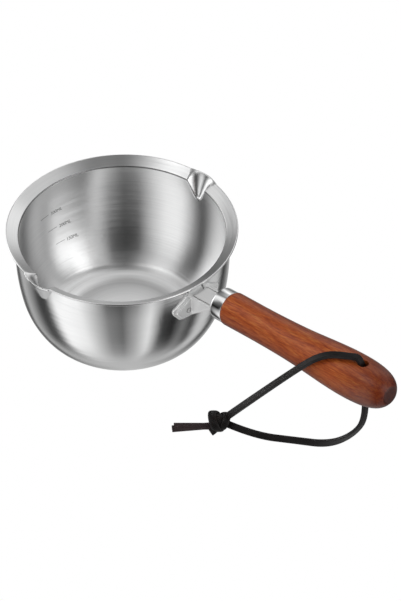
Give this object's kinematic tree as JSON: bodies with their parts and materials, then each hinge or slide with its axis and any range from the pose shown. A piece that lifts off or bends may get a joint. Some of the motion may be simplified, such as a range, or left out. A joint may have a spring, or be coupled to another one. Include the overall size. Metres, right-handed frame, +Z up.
{
  "type": "milk pan",
  "caption": "Small steel milk pan with a flared rim, a pouring spout on each side, a turned wooden handle on a welded bracket and a knotted leather hanging lace.",
  "frame": {"origin": "centre of the underside of the base, on the surface that the pan stands on", "axes": "+Z up along the bowl's axis; +X from the bowl along the handle; the two pouring spouts open towards +Y and -Y"},
  "size_m": [0.2479, 0.1242, 0.0859],
  "materials": {
    "bowl_steel": "brushed and polished stainless steel",
    "bracket_steel": "pressed stainless steel",
    "ferrule_steel": "polished stainless steel",
    "oiled_wood": "oiled reddish hardwood with a satin gloss",
    "insert_brass": "turned brass",
    "lace_leather": "dark leather lace"
  },
  "bodies": {
    "root": {"pan_bowl": "bowl_steel", "handle_bracket": "bracket_steel", "spot_welds": "bracket_steel", "handle_tang": "bracket_steel", "ferrule": "ferrule_steel", "wooden_handle": "oiled_wood", "threaded_insert": "insert_brass", "lace_loop": "lace_leather", "lace_knot": "lace_leather", "lace_tails": "lace_leather"}
  },
  "joints": []
}
